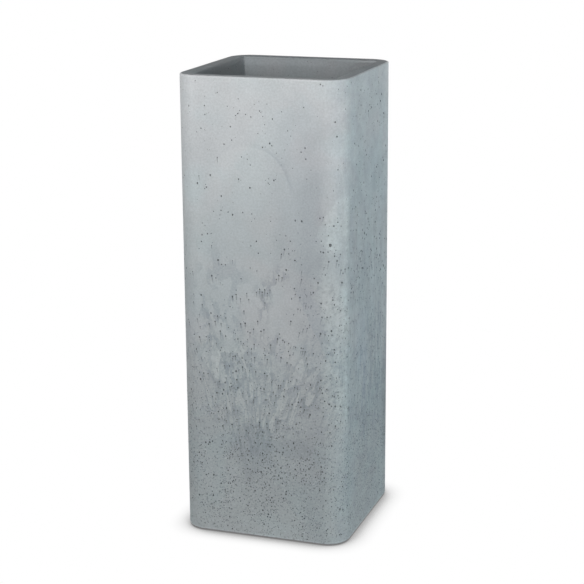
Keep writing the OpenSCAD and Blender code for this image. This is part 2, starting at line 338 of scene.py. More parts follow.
# How much more crowded and how much wider the pores are on the right wall above this height
RIGHT_UPPER = 380
RIGHT_CROWDING = 1.6
RIGHT_SWELL = 1.35
# Pores per square metre and radius on the rim and on the collar
INNER_DENSITY = 2600
RIM_PORE = 0.42
COLLAR_PORE = 0.5
# The front's most visible pores, each at x and z, with its radius and the length of its tail
FRONT_PITS = (
    (109, 464, 2.2, 0), (114, 492, 1.2, 0), (120, 497, 1.1, 0), (94, 503, 1.1, 0), (117, 456, 0.8, 0),
    (19, 607, 1.3, 0), (8, 601, 1.1, 0), (22, 604, 1.0, 0), (72, 603, 1.1, 0), (66, 597, 0.9, 0),
    (-12, 541, 1.2, 0), (116, 641, 1.2, 0), (-39, 609, 0.9, 0), (-86, 624, 1.0, 0), (-80, 657, 1.0, 0),
    (97, 241, 1.2, 0), (106, 301, 1.0, 0), (85, 414, 1.0, 0), (-58, 424, 1.0, 0), (-52, 424, 0.9, 0),
    (1, 391, 1.0, 9), (5, 387, 1.1, 12), (9, 391, 1.1, 9), (13, 386, 0.9, 12), (-4, 386, 0.9, 8),
    (17, 391, 0.8, 7), (9, 371, 0.8, 9), (-16, 374, 0.9, 6), (31, 414, 1.2, 10), (36, 411, 1.0, 8),
    (27, 408, 0.9, 9), (-36, 380, 1.1, 16), (-24, 356, 1.0, 7), (56, 388, 0.9, 7), (60, 366, 0.9, 8),
    (7, 330, 1.1, 16), (28, 318, 1.2, 10), (62, 330, 0.8, 14), (-70, 336, 1.0, 9), (-62, 322, 1.0, 12),
)
# Where the tails of the front's pores run together, below the wall's middle
TAIL_FOCUS = (-12, -40)
# The scalloped lower edge of the paste that has run down over the front's pores: how far aside of
# the focus for each millimetre above it, and the height
PASTE_EDGE = (
    (-0.290, 300), (-0.235, 268), (-0.212, 244), (-0.192, 243), (-0.172, 268), (-0.150, 290), (-0.075, 290),
    (-0.045, 276), (-0.024, 250), (-0.006, 217), (0.008, 236), (0.018, 205), (0.027, 181), (0.047, 194),
    (0.073, 173), (0.092, 196), (0.118, 176), (0.135, 172), (0.150, 197), (0.168, 194), (0.190, 193),
    (0.206, 228), (0.226, 226), (0.240, 186), (0.253, 184), (0.270, 228), (0.295, 234), (0.315, 220),
    (0.340, 219), (0.362, 250), (0.410, 300),
)
# Pale lobes of the paste: x and z of the lowest point, half the width, and the length
LOBES = (
    (17, 171, 4.5, 34), (5, 173, 2.8, 28), (-5, 181, 3.0, 30), (46, 181, 3.2, 62), (31, 193, 9.0, 60),
    (74, 219, 6.0, 36), (-62, 242, 9.0, 74), (-31, 199, 7.0, 36), (12, 230, 4.0, 44), (-14, 216, 3.2, 56),
    (-46, 178, 3.0, 56), (56, 248, 7.0, 50), (-3, 212, 3.0, 34), (-76, 196, 3.2, 50), (-22, 176, 2.6, 34),
)


def smooth_step(x, low, high):
    t = min(max((x - low) / (high - low), 0), 1)
    return t * t * (3 - 2 * t)


def from_lobes(x, z):
    """How far a place on the front is from the nearest lobe: 1 at the lobe's edge."""
    nearest = 9.0
    for at, tip, half, length in LOBES:
        slope = (at - TAIL_FOCUS[0]) / (tip - TAIL_FOCUS[1])
        aside = (x - TAIL_FOCUS[0] - slope * (z - TAIL_FOCUS[1])) / half
        below = min(z - tip - half, 0) / half
        above = max(z - tip - length / 2, 0) / (length / 2)
        nearest = min(nearest, math.hypot(aside, below) + above)
    return nearest


def front_crowding(x, z):
    """How crowded the front's pores are next to those of the other walls, at a place in
    millimetres: few in the smooth paste under the arc, many in the fan below it."""
    shoulder = piecewise(z, ((290, 88), (330, 74), (380, 46), (440, 10), (460, -20)))
    paste = smooth_step(x, -34, -24) * smooth_step(x, shoulder + 6, shoulder - 6)
    paste *= smooth_step(z, 300, 335) * smooth_step(z, 450, 430)
    fan = smooth_step(abs(x + 10), 95, 70) * smooth_step(z, 165, 200) * smooth_step(z, 345, 315)
    left = smooth_step(-x, 80, 92)
    corner = smooth_step(x, 88, 98) * smooth_step(z, 180, 240) * smooth_step(z, 560, 500)
    above_edge = z - piecewise((x - TAIL_FOCUS[0]) / (z - TAIL_FOCUS[1]), PASTE_EDGE)
    covered = smooth_step(above_edge, 1, 6) * smooth_step(above_edge, 44, 16)
    notched = smooth_step(above_edge, -12, -2) * smooth_step(above_edge, 4, 1)
    lobe = smooth_step(from_lobes(x, z), 1.15, 0.95)
    crowding = (1 - 0.85 * paste) * (1 + 0.75 * fan) * (1 - 0.45 * left) * (1 + 1.2 * corner)
    return crowding * (1 - 0.45 * covered) * (1 + 0.8 * notched) * (1 - 0.85 * lobe)


def scatter_on_wall():
    """The pores of the outer wall: few and small above, crowded towards the foot."""
    pores = Pores(11, (0, 1000 * (FOOT + BASE_EDGE_R)), (1000 * OUTER.length, 1000 * (TOP - RIM_EDGE_R)))
    dice = pores.dice
    middle = 1000 * (OUTER.side + OUTER.arc + OUTER.reach)
    for x, z, r, tail in FRONT_PITS:
        pores.put(middle + x, z, r, 1.15, tail, (TAIL_FOCUS[0] - x) / (z - TAIL_FOCUS[1]))
    for _ in range(int(DENSEST_PORES * OUTER.length * TOP)):
        place = OUTER.length * dice.random()
        z = 1000 * TOP * dice.random()
        keep = dice.random()
        across = 1000 * place - middle
        wanted = piecewise(z, PORE_DENSITY)
        if abs(across) < 1000 * HALF:
            wanted *= front_crowding(across, z)
        beyond_corner = place - 2 * OUTER.side - OUTER.arc
        on_upper_right = 0 < beyond_corner < OUTER.side - OUTER.arc and z > RIGHT_UPPER
        if on_upper_right:
            wanted *= RIGHT_CROWDING
        crowd = 1 + 1.6 * noise_at(across, z * 0.7, 3, 30) + 1.0 * noise_at(across, z, 50, 11)
        if keep * DENSEST_PORES > wanted * max(crowd, 0.12):
            continue
        r = piecewise(z, PORE_RADIUS) * math.exp(dice.gauss(-0.1, 0.33))
        r = min(max(r, PORE_LIMITS[0]), PORE_LIMITS[1]) * (RIGHT_SWELL if on_upper_right else 1)
        tail = 0.0
        if r > LEAST_WITH_TAIL and dice.random() < piecewise(z, TAIL_SHARE):
            tail = dice.uniform(5, 12) * min(r, 1.1)
        lean = 0.12 * noise_at(across, z, 9, 50) + dice.uniform(-0.04, 0.04)
        if abs(across) < 1000 * HALF:
            lean += (TAIL_FOCUS[0] - across) / (z - TAIL_FOCUS[1])
        pores.put(1000 * place, z, r, dice.uniform(1.0, 1.45), tail, lean)
    return pores


def scatter_few(seed, low, high, radius):
    """A few small pores on a sheet, all in millimetres."""
    pores = Pores(seed, low, high)
    dice = pores.dice
    area = (high[0] - low[0]) * (high[1] - low[1]) / 1e6
    for _ in range(int(INNER_DENSITY * area)):
        x, y = dice.uniform(low[0], high[0]), dice.uniform(low[1], high[1])
        r = radius * math.exp(dice.gauss(0, 0.3))
        pores.put(x, y, r, dice.uniform(1.0, 1.3))
    return pores


def pored_band(skin, outline, low_columns, high_columns, low, high, offset_at, sharper_at, wall, pores):
    """A wall that runs right round, with pores. offset_at and sharper_at give its offset and its
    corners at a height, and wall is 1 for the outer wall, whose pores go inwards, and 0 for the
    collar."""
    sheet = Sheet()
    length = 1000 * outline.length
    rows = max(int((high - low) / CORNER_ROW), 1)
    heights = [1000 * (low + (high - low) * i / rows) for i in range(rows + 1)]
    foot = [(1000 * s, heights[0]) for s in low_columns] + [(length, heights[0])]
    head = [(1000 * s, heights[-1]) for s in high_columns] + [(length, heights[-1])]
    right = [(length, z) for z in heights[1:-1]]
    left = [(0, z) for z in heights[1:-1]]
    sheet.ring(foot + right + head[::-1] + left[::-1])
    for quarter in range(4):
        for i in range(CORNER_STEPS + 1):
            x = 1000 * (quarter * outline.side + outline.arc * i / CORNER_STEPS)
            for z in heights[1:-1]:
                if 0 < x < length and pores.clear_of(x, z, 0.5):
                    sheet.point(x, z)
    for kept in pores.kept:
        sheet.pore(pores.dice, *kept)
    flat, faces, depth, stain, pit = sheet.triangles()
    heights = flat[:, 1] * MM
    offset = offset_at(heights) + (1 - 2 * wall) * depth * MM
    along = np.clip(flat[:, 0] * MM, 0, outline.length)
    skin.add(outline.points(along, offset, heights, sharper_at(heights)), faces, wall, pit, stain)


def rim_ring(skin, outer_columns, inner_columns, outer_offset, inner_offset, pores):
    """The flat top of the rim, between two outlines, with pores."""
    sheet = Sheet()
    outer = 1000 * OUTER.points(outer_columns, outer_offset, TOP)
    inner = 1000 * INNER.points(inner_columns, inner_offset, TOP, COLLAR_SHARPER)
    sheet.ring(outer[:, :2])
    sheet.ring(inner[:, :2])
    clear = 1.5
    for kept in pores.kept:
        here = np.array([kept[:2]]) * MM
        if OUTER.offset_of(here)[0] < outer_offset - clear * MM:
            if INNER.offset_of(here, COLLAR_SHARPER)[0] > inner_offset + clear * MM:
                sheet.pore(pores.dice, *kept)
    flat, faces, depth, stain, pit = sheet.triangles()
    middle = flat[faces].mean(axis=1) * MM
    beyond_mouth = INNER.offset_of(middle, COLLAR_SHARPER) > inner_offset - WELD
    kept = beyond_mouth & (OUTER.offset_of(middle) < outer_offset + WELD)
    points = np.column_stack([flat * MM, TOP - depth * MM])
    skin.add(points, faces[kept], 0, pit[kept], stain)


def quarter_round(offset, height, radius, start, end):
    """The profile of a rounded edge: (offset, height) along an arc, angles in degrees."""
    profile = []
    for i in range(EDGE_STEPS + 1):
        angle = math.radians(start + (end - start) * i / EDGE_STEPS)
        profile.append((offset + radius * math.cos(angle), height + radius * math.sin(angle)))
    return profile


def collar_offset(height):
    """Offset of the collar's wall at a height."""
    return COLLAR_CORNER_R + (height - LEDGE_Z) * math.tan(COLLAR_DRAFT)


def collar_sharper(height):
    """How much sharper the collar's corners are at a height. At the mouth's edge they have
    their full sharpness."""
    return COLLAR_SHARPER * np.minimum((height - LEDGE_Z) / (TOP - MOUTH_EDGE_R - LEDGE_Z), 1)


def is_rebuilt(mesh):
    """For each face of the shell's solid, whether the pored skin takes its place: the outer
    wall with its edges, the rim's top and the collar's wall."""
    points = np.empty(3 * len(mesh.vertices))
    mesh.vertices.foreach_get("co", points)
    points = points.reshape(-1, 3)
    slack = 0.05 * MM
    outside = OUTER.offset_of(points) > CORNER_R - BASE_EDGE_R - slack
    at_rim = points[:, 2] > TOP - RIM_T + 1 * MM
    on_collar = (points[:, 2] > LEDGE_Z - slack) & (
        np.abs(INNER.offset_of(points) - collar_offset(points[:, 2])) < slack)
    groups = (outside, at_rim | on_collar)
    return [any(all(marks[i] for i in face.vertices) for marks in groups) for face in mesh.polygons]


def border_columns(bm, outline, height):
    """The places of the open border's vertices at a height, in order along an outline."""
    border = {v for e in bm.edges if len(e.link_faces) == 1 for v in e.verts}
    points = np.array([v.co[:] for v in border if abs(v.co.z - height) < WELD])
    return np.unique(np.round(outline.along_of(points), 8))


def shell_piece():
    """The shell, with its solid's hidden faces kept and its visible ones rebuilt with pores."""
    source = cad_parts["shell"].data
    bm = bmesh.new()
    bm.from_mesh(source)
    bm.faces.ensure_lookup_table()
    dropped = [bm.faces[i] for i, drop in enumerate(is_rebuilt(source)) if drop]
    bmesh.ops.delete(bm, geom=dropped, context="FACES")
    bmesh.ops.remove_doubles(bm, verts=bm.verts, dist=WELD)
    bmesh.ops.triangulate(bm, faces=bm.faces)
    foot_columns = border_columns(bm, OUTER, FOOT)
    ledge_columns = border_columns(bm, INNER, LEDGE_Z)
    rim_columns = even_columns(OUTER)
    bm.verts.index_update()

    skin = Skin()
    skin.add([v.co[:] for v in bm.verts], [[v.index for v in f.verts] for f in bm.faces], 0)
    bm.clear()
    edge = CORNER_R - BASE_EDGE_R
    profile = quarter_round(edge, FOOT + BASE_EDGE_R, BASE_EDGE_R, -90, 0)
    skin.add_strip(OUTER, foot_columns, profile, 1)
    pored_band(skin, OUTER, foot_columns, rim_columns, FOOT + BASE_EDGE_R, TOP - RIM_EDGE_R,
               lambda z: np.full(np.shape(z), CORNER_R), np.zeros_like, 1, scatter_on_wall())
    edge = CORNER_R - RIM_EDGE_R
    profile = quarter_round(edge, TOP - RIM_EDGE_R, RIM_EDGE_R, 0, 90)
    skin.add_strip(OUTER, rim_columns, profile, 1)
    mouth_z = TOP - MOUTH_EDGE_R
    mouth = collar_offset(mouth_z) + MOUTH_EDGE_R / math.cos(COLLAR_DRAFT)
    half = 1000 * HALF
    rim_pores = scatter_few(6, (-half, -half), (half, half), RIM_PORE)
    rim_ring(skin, rim_columns, ledge_columns, edge, mouth, rim_pores)
    profile = quarter_round(mouth, mouth_z, MOUTH_EDGE_R, 90, 180 - math.degrees(COLLAR_DRAFT))
    skin.add_strip(INNER, ledge_columns, profile, 0, COLLAR_SHARPER)
    top = profile[-1][1]
    sheet_high = 1000 * INNER.length, 1000 * top
    pores = scatter_few(7, (0, 1000 * LEDGE_Z), sheet_high, COLLAR_PORE)
    pored_band(skin, INNER, ledge_columns, ledge_columns, LEDGE_Z, top,
               collar_offset, collar_sharper, 0, pores)

    bm.from_mesh(skin.build("skin"))
    bmesh.ops.remove_doubles(bm, verts=bm.verts, dist=WELD)
    bmesh.ops.recalc_face_normals(bm, faces=bm.faces)
    mesh = bpy.data.meshes.new("shell_body")
    bm.to_mesh(mesh)
    bm.free()
    mesh.shade_smooth()
    mesh.set_sharp_from_angle(angle=SHARP_ANGLE)
    piece = bpy.data.objects.new("shell_body", mesh)
    bpy.context.scene.collection.objects.link(piece)
    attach(piece, "shell_body")
    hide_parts("shell")
    return piece


class Field:
    """A number that varies over a surface. What is done with it becomes nodes of its graph."""

    def __init__(self, graph, socket):
        self.graph, self.socket = graph, socket

    def __add__(self, other):
        return self.graph.math("ADD", self, other)

    def __sub__(self, other):
        return self.graph.math("SUBTRACT", self, other)

    def __rsub__(self, other):
        return self.graph.math("SUBTRACT", other, self)

    def __mul__(self, other):
        return self.graph.math("MULTIPLY", self, other)

    def __truediv__(self, other):
        return self.graph.math("DIVIDE", self, other)

    __radd__ = __add__

    def ranged(self, interpolation, *settings):
        node = self.graph.add("ShaderNodeMapRange", interpolation_type=interpolation)
        for key, setting in enumerate((self, *settings)):
            self.graph.feed(node.inputs[key], setting)
        return Field(self.graph, node.outputs[0])

    def smooth(self, low, high, to_low=0.0, to_high=1.0):
        """A smooth step, from to_low where the field is low to to_high where it is high."""
        return self.ranged("SMOOTHSTEP", low, high, to_low, to_high)

    def within(self, low, high, edge):
        """1 between two limits, with soft edges."""
        return self.smooth(low - edge, low + edge) * self.smooth(high + edge, high - edge)

    def vary(self, swing):
        """A factor that goes from 1 - swing to 1 + swing over the usual range of a noise."""
        return self.ranged("LINEAR", 0.3, 0.7, 1 - swing, 1 + swing)

    def line(self, stops):
        """A value read off a line through (x, value) stops."""
        low, high = stops[0][0], stops[-1][0]
        greys = [((x - low) / (high - low), (level,) * 3) for x, level in stops]
        return Field(self.graph, self.graph.ramp((self - low) / (high - low), greys))


class Graph:
    """Shader nodes. Each step returns the field, or the socket, that the next steps take."""

    def __init__(self, tree):
        self.nodes, self.links = tree.nodes, tree.links

    def add(self, kind, **settings):
        node = self.nodes.new(kind)
        for key, value in settings.items():
            setattr(node, key, value)
        return node

    def feed(self, socket, value):
        if isinstance(value, Field):
            value = value.socket
        if isinstance(value, bpy.types.NodeSocket):
            self.links.new(value, socket)
        else:
            socket.default_value = value

    def math(self, operation, a, b=0.0):
        node = self.add("ShaderNodeMath", operation=operation)
        self.feed(node.inputs[0], a)
        self.feed(node.inputs[1], b)
        return Field(self, node.outputs[0])

    def ramp(self, value, stops):
        """A colour read off (place, colour) stops."""
        node = self.add("ShaderNodeValToRGB")
        self.feed(node.inputs[0], value)
        band = node.color_ramp
        while len(band.elements) < len(stops):
            band.elements.new(0.5)
        for element, (place, colour) in zip(band.elements, stops):
            element.position = place
            element.color = (*colour, 1)
        return node.outputs["Color"]

    def seen_directly(self):
        """1 for rays from the camera, and for those through glass or off a shiny surface."""
        rays = self.add("ShaderNodeLightPath").outputs
        seen = self.math("MAXIMUM", rays["Is Camera Ray"], rays["Is Glossy Ray"])
        return self.math("MAXIMUM", seen, rays["Is Transmission Ray"])


class Recipe(Graph):
    """A material's nodes."""

    def __init__(self, name):
        self.material = bpy.data.materials.new(name)
        self.material.use_nodes = True
        super().__init__(self.material.node_tree)
        self.shader = self.nodes["Principled BSDF"]
        self.spot = self.add("ShaderNodeTexCoord").outputs["Object"]

    def axis(self, vector, name):
        node = self.add("ShaderNodeSeparateXYZ")
        self.feed(node.inputs[0], vector)
        return Field(self, node.outputs[name])

    def placed(self, shift, scale=(1, 1, 1)):
        """The place on the piece, shifted and scaled."""
        node = self.add("ShaderNodeMapping")
        self.feed(node.inputs["Vector"], self.spot)
        node.inputs["Location"].default_value = shift
        node.inputs["Scale"].default_value = scale
        return node.outputs[0]

    def noise(self, size, detail=3.0, roughness=0.5, distortion=0.0, at=None):
        """Noise with features of about that size in metres."""
        node = self.add("ShaderNodeTexNoise")
        self.feed(node.inputs["Vector"], at or self.spot)
        node.inputs["Scale"].default_value = 0.5 / size
        node.inputs["Detail"].default_value = detail
        node.inputs["Roughness"].default_value = roughness
        node.inputs["Distortion"].default_value = distortion
        return Field(self, node.outputs["Fac"])

    def mix(self, factor, a, b, blend="MIX"):
        node = self.add("ShaderNodeMix", data_type="RGBA", blend_type=blend)
        self.feed(node.inputs["Factor"], factor)
        self.feed(node.inputs["A"], a)
        self.feed(node.inputs["B"], b)
        return node.outputs["Result"]

    def scaled(self, colour, factor):
        node = self.add("ShaderNodeVectorMath", operation="SCALE")
        self.feed(node.inputs[0], colour)
        self.feed(node.inputs["Scale"], factor)
        return node.outputs[0]

    def attribute(self, name):
        return Field(self, self.add("ShaderNodeAttribute", attribute_name=name).outputs["Fac"])

    def bump(self, height, distance, under=None):
        node = self.add("ShaderNodeBump")
        node.inputs["Distance"].default_value = distance
        self.feed(node.inputs["Height"], height)
        if under is not None:
            self.feed(node.inputs["Normal"], under)
        return node.outputs[0]

    def finish(self, colour, roughness, normal):
        self.feed(self.shader.inputs["Base Color"], colour)
        self.feed(self.shader.inputs["Roughness"], roughness)
        self.feed(self.shader.inputs["Normal"], normal)
        return self.material


# The outer wall's grey from its foot to its rim: (share of the height, linear colour)
# Partly the concrete's own tone and partly painted light: lighter towards the rim, with a painted highlight
# just at the foot
HEIGHT_GREYS_AND_PAINTED_LIGHT = (
    (0.00, (0.400, 0.437, 0.448)),
    (0.05, (0.358, 0.397, 0.407)),
    (0.20, (0.335, 0.371, 0.383)),
    (0.45, (0.375, 0.405, 0.417)),
    (0.65, (0.395, 0.425, 0.438)),
    (0.82, (0.445, 0.475, 0.490)),
    (1.00, (0.520, 0.545, 0.557)),
)
# Painted shade: the same concrete as the outer wall, made darker and bluer on the rim's top, the collar and
# the other inner faces
INNER_PAINTED_SHADE_GREY = (0.365, 0.390, 0.405, 1)

# The left edge of the pale flake at the front's right corner: (height, x). The places in this
# table and in the next ones are in metres.
FLAKE_EDGE = (
    (0.455, 0.114), (0.458, 0.103), (0.467, 0.095), (0.479, 0.0896), (0.489, 0.092), (0.508, 0.103),
    (0.518, 0.110), (0.532, 0.117),
)
# Dark smudges in the front's smooth paste: middle and size
SMUDGES = (
    ((0.008, 0.381), (0.016, 0.019)), ((0.031, 0.407), (0.016, 0.019)), ((0.007, 0.356), (0.008, 0.018)),
)
# Places on the front where the paste is torn open to darker ground: middle and size
TORN_SPOTS = (
    ((-0.032, 0.250), (0.026, 0.064)), ((0.024, 0.297), (0.018, 0.028)), ((0.084, 0.264), (0.014, 0.040)),
    ((-0.071, 0.325), (0.022, 0.044)), ((-0.026, 0.160), (0.026, 0.036)),
)
# Uneven ovals on the front: middle, size, softness, unevenness and tint
FRONT_OVALS = (
    ((0.062, 0.525), (0.044, 0.155), 0.4, 0.9, (0.905, 0.905, 0.915)),
    ((-0.100, 0.468), (0.022, 0.085), 0.4, 0.8, (1.035, 1.05, 1.045)),
    ((-0.116, 0.385), (0.017, 0.030), 0.4, 0.8, (0.93, 0.93, 0.935)),
    ((-0.014, 0.136), (0.030, 0.040), 0.4, 1.2, (0.90, 0.908, 0.918)),
    ((0.046, 0.150), (0.030, 0.014), 0.4, 1.2, (0.90, 0.908, 0.918)),
    ((0.022, 0.150), (0.052, 0.100), 0.5, 0.6, (0.945, 0.945, 0.95)),
)
# Patches of the right wall: limits along y and z, and how much lighter or darker each is
RIGHT_PATCHES = (
    (-0.055, 0.035, 0.055, 0.115, 0.95),
    (-0.005, 0.045, 0.405, 0.470, 0.95),
    (-0.060, 0.000, 0.665, 0.710, 1.04),
    (0.080, 0.125, 0.345, 0.405, 1.05),
    (0.080, 0.125, 0.085, 0.175, 0.94),
    (-0.022, 0.004, 0.345, 0.400, 0.95),
    (-0.022, 0.004, 0.150, 0.180, 0.94),
)
# Other patches: the tint of each, and its limits as Concrete.limited takes them
PATCHES = (
    # Above the flake, under it, and the front's dull upper right
    ((0.960, 0.960, 0.965), ("x", 0.100, 0.112), ("y", -0.097, -0.106), ("z", 0.60, 0.63)),
    ((0.930, 0.930, 0.935), ("x", 0.090, 0.116, 0.005), ("y", -0.097, -0.106), ("z", 0.427, 0.450, 0.006)),
    ((0.945, 0.945, 0.95), ("front",), ("x", 0.050, 0.085), ("x", 0.120, 0.090), ("z", 0.53, 0.64, 0.04)),
    # The front's pale left flank
    ((1.06, 1.06, 1.06), ("x", -0.088, -0.108), ("y", -0.097, -0.11), ("z", 0.49, 0.56)),
    # The right wall: its cold middle, painted with the side light's cool tint, a light patch near the
    # corner, its far part, with painted shade low down, and a seam
    ((0.975, 1.008, 1.012), ("right",), ("y", -0.065, 0.075, 0.020), ("z", 0.17, 0.60, 0.05)),
    ((1.07, 1.075, 1.085), ("right",), ("y", -0.074, -0.008, 0.020), ("z", 0.25, 0.34, 0.03)),
    ((0.765, 0.765, 0.775), ("right",), ("y", 0.060, 0.098), ("z", 0.07, 0.25, 0.05)),
    ((1.07, 1.07, 1.06), ("right",), ("y", 0.070, 0.090), ("z", 0.29, 0.35)),
    ((1.07, 1.07, 1.06), ("right",), ("y", 0.01, -0.02), ("z", 0.1375, 0.1465, 0.002)),
    # Painted highlight along the corner between the front and the right wall
    ((1.065, 1.085, 1.085), ("x", 0.122, 0.1285), ("y", -0.058, -0.092), ("z", 0.04, 0.15, 0.4, 1.0)),
    ((1.04, 1.03, 1.02), ("x", 0.1185, 0.1235), ("y", -0.092, -0.100), ("z", 0.38, 0.44)),
    ((1.11, 1.10, 1.085), ("x", 0.112, 0.119), ("y", -0.092, -0.100), ("z", 0.165, 0.40, 0.025)),
    # Painted highlights along the rounded edges of the foot and of the rim
    ((1.25, 1.24, 1.24), ("wall",), ("z", 0.0065, 0.0045), ("z", 0.0020, 0.0030)),
    ((1.12, 1.11, 1.11), ("wall",), ("z", TOP - 2.8 * MM, TOP - 1.4 * MM)),
    # The collar's right part, darkened with painted shade, and the top of its back wall at the left,
    # lightened with painted light
    ((0.78, 0.78, 0.78), ("inner",), ("x", 0.040, 0.095), ("z", TOP - 3 * MM, TOP - 5 * MM)),
    ((1.12, 1.12, 1.12), ("inner",), ("x", 0.060, 0.0), ("y", 0.080, 0.098),
     ("z", TOP - 3 * MM, TOP - 5 * MM), ("z", TOP - 16 * MM, TOP - 9 * MM)),
)


class Concrete(Recipe):
    """Moulded shell with the look of cast concrete. The functions that follow are its steps. They
    multiply its colour, and the shade that lightens or darkens all of it."""

    def __init__(self):
        super().__init__("concrete")
        self.x, self.y, self.z = (self.axis(self.spot, name) for name in "XYZ")
        self.height = self.z / TOP
        self.wall = self.attribute("wall")
        self.inner = 1.0 - self.wall
        self.front = self.y.smooth(-0.085, -0.118)
        self.right = self.x.smooth(0.110, 0.126)
        # Distances aside of and above the point where the front's strokes run together
        self.across = self.x - TAIL_FOCUS[0] * MM
        self.up = self.z - TAIL_FOCUS[1] * MM
        self.aside = self.across / self.up
        self.rough = self.noise(0.030, 2, 0.5, 0.0, self.placed((5, 5, 1)))
        self.colour = self.mix(self.wall, INNER_PAINTED_SHADE_GREY, self.ramp(self.height, HEIGHT_GREYS_AND_PAINTED_LIGHT))
        self.shade = self.noise(0.085, 3, 0.5, 0.6).vary(0.045)

    def tint(self, mask, tint):
        """Multiplies the colour by a tint where the mask is 1."""
        tinted = self.mix(1.0, self.colour, (*tint, 1), "MULTIPLY")
        self.colour = self.mix(mask, self.colour, tinted)

    def limited(self, limits):
        """1 inside all the limits. A limit is the name of a part alone, or an axis with two ends
        and their softness, or an axis with the place where the patch starts and the one where it
        is full, and with its strengths at the two if they aren't 0 and 1."""
        masks = []
        for name, *ends in limits:
            mask = getattr(self, name)
            if len(ends) == 3:
                mask = mask.within(*ends)
            elif ends:
                mask = mask.smooth(*ends)
            masks.append(mask)
        return functools.reduce(operator.mul, masks)

    def away(self, middle, size, wobble):
        """How far a place is from the middle of an oval on the front: 1 at its uneven outline."""
        across = (self.x - middle[0]) / size[0]
        up = (self.z - middle[1]) / size[1]
        uneven = (self.noise(0.018, 3, 0.55) - 0.5) * wobble
        return self.math("SQRT", across * across + up * up) + uneven

    def oval(self, middle, size, edge, wobble):
        """A soft-edged oval on the front, with an uneven outline."""
        return self.away(middle, size, wobble).smooth(1 + edge, 1 - edge) * self.front

    def drawn_out(self, stretch, shift):
        """A place for noise that is drawn out along the strokes: they run together downwards on
        the front, and go straight down on the other walls."""
        node = self.add("ShaderNodeCombineXYZ")
        self.feed(node.inputs[0], self.aside * 0.26 + shift)
        self.feed(node.inputs[1], self.y)
        self.feed(node.inputs[2], self.z * stretch)
        return self.mix(self.front, self.placed((shift, 0, 0), (1, 1, stretch)), node.outputs[0])


def clouds(r):
    """Broad clouds, and a cool or warm cast that wanders over the walls."""
    r.shade *= r.noise(0.016, 4, 0.6).vary(0.035)
    cool = r.noise(0.05, 3, 0.5, 1.0, r.placed((3, 1, 2))).smooth(0.38, 0.62)
    cast = r.mix(cool, (1.014, 0.999, 0.998, 1), (0.982, 1.001, 1.003, 1))
    r.colour = r.mix(1.0, r.colour, cast, "MULTIPLY")
    blue = r.noise(0.022, 3, 0.5, 0.5, r.placed((7, 2, 4))).smooth(0.52, 0.7)
    r.tint(blue * r.z.within(0.10, 0.34, 0.05) * r.wall, (0.968, 0.974, 0.990))


def listed_patches(r):
    """The patches that the tables list."""
    for tint, *limits in PATCHES:
        r.tint(r.limited(limits), tint)
    for middle, size, edge, wobble, tint in FRONT_OVALS:
        r.tint(r.oval(middle, size, edge, wobble), tint)
    for front_end, back_end, bottom, top, factor in RIGHT_PATCHES:
        patch = r.y.within(front_end, back_end, 0.012) * r.z.within(bottom, top, 0.015)
        r.tint(r.right * patch, (factor,) * 3)


def pour_arc(r):
    """The arc of a pour, with painted shadow just outside its edge at its right."""
    away = r.away((-0.016, 0.535), (0.064, 0.066), 0.12)
    arc = away.smooth(1.03, 0.97) * r.z.smooth(0.502, 0.556)
    r.tint(arc * r.front, (1.035, 1.033, 1.027))
    # Painted shadow of the arc's lip, just outside its edge
    lip_painted_shadow = away.smooth(0.995, 1.015) * away.smooth(1.13, 1.01)
    lip_painted_shadow *= r.x.smooth(-0.02, 0.03) * r.z.smooth(0.53, 0.55)
    r.tint(lip_painted_shadow * r.front, (0.90, 0.905, 0.92))


def pale_flake(r):
    """The pale flake at the front's right corner, the pale strip under it, the dull band beside
    the two, and the crumbs on the flake and the strip."""
    ragged = (r.noise(0.006, 3, 0.5) - 0.5) * 0.010
    flake = (r.x - r.z.line(FLAKE_EDGE) + ragged).smooth(-0.001, 0.0015)
    flake *= r.z.within(FLAKE_EDGE[0][0], FLAKE_EDGE[-1][0], 0.003)
    flake *= r.y.smooth(-0.097, -0.106)
    r.tint(flake, (1.10, 1.11, 1.095))
    edge = r.x + (r.noise(0.04, 3) - 0.5) * 0.03
    strip = edge.smooth(0.090, 0.099) * r.y.smooth(-0.097, -0.11)
    strip *= r.z.within(0.2, 0.41, 0.03)
    r.tint(strip, (1.035, 1.05, 1.04))
    band = edge.smooth(0.050, 0.078) * edge.smooth(0.105, 0.096)
    r.tint(band * r.front * r.z.smooth(0.60, 0.50), (0.925, 0.925, 0.935))
    crumbs = r.noise(0.0032, 3, 0.6, 0.0, r.placed((8, 8, 1)))
    r.crumbly = r.math("MAXIMUM", flake * 0.4, strip)
    r.tint(r.crumbly * crumbs.smooth(0.54, 0.62), (0.83, 0.83, 0.84))
    r.tint(r.crumbly * crumbs.smooth(0.46, 0.38), (1.07, 1.07, 1.07))


def dark_blots(r):
    """Dark blots beside the smooth paste, and the smudges in it."""
    blots = r.noise(0.014, 3, 0.55, 0.6, r.placed((1, 5, 3), (1, 1, 0.7)))
    blotted = r.oval((-0.060, 0.385), (0.044, 0.062), 0.3, 0.5)
    r.tint(blots.smooth(0.49, 0.54) * blotted, (0.88, 0.89, 0.905))
    smudge = r.noise(0.006, 3, 0.6, 0.5, r.placed((4, 1, 1), (1, 1, 0.45)))
    smudge = smudge.smooth(0.46, 0.56)
    for middle, size in SMUDGES:
        r.tint(r.oval(middle, size, 0.5, 1.4) * smudge, (0.80, 0.81, 0.83))


def smooth_paste(r):
    """The smooth paste ends at the right in a slanting edge, with duller ground beyond it."""
    slant = r.x - (0.0530 + (0.397 - r.z) * 0.495)
    slant += (r.noise(0.010, 3) - 0.5) * 0.008
    beyond = slant.smooth(-0.001, 0.001) * slant.smooth(0.034, 0.014)
    beyond *= r.z.within(0.215, 0.40, 0.02) * r.front
    r.tint(beyond, (0.930, 0.940, 0.955))
    paste = slant.smooth(0.001, -0.001) * r.z.within(0.27, 0.425, 0.02)
    paste *= r.x.smooth(-0.036, -0.026) * r.front
    r.tint(paste, (1.010, 1.0, 1.0))


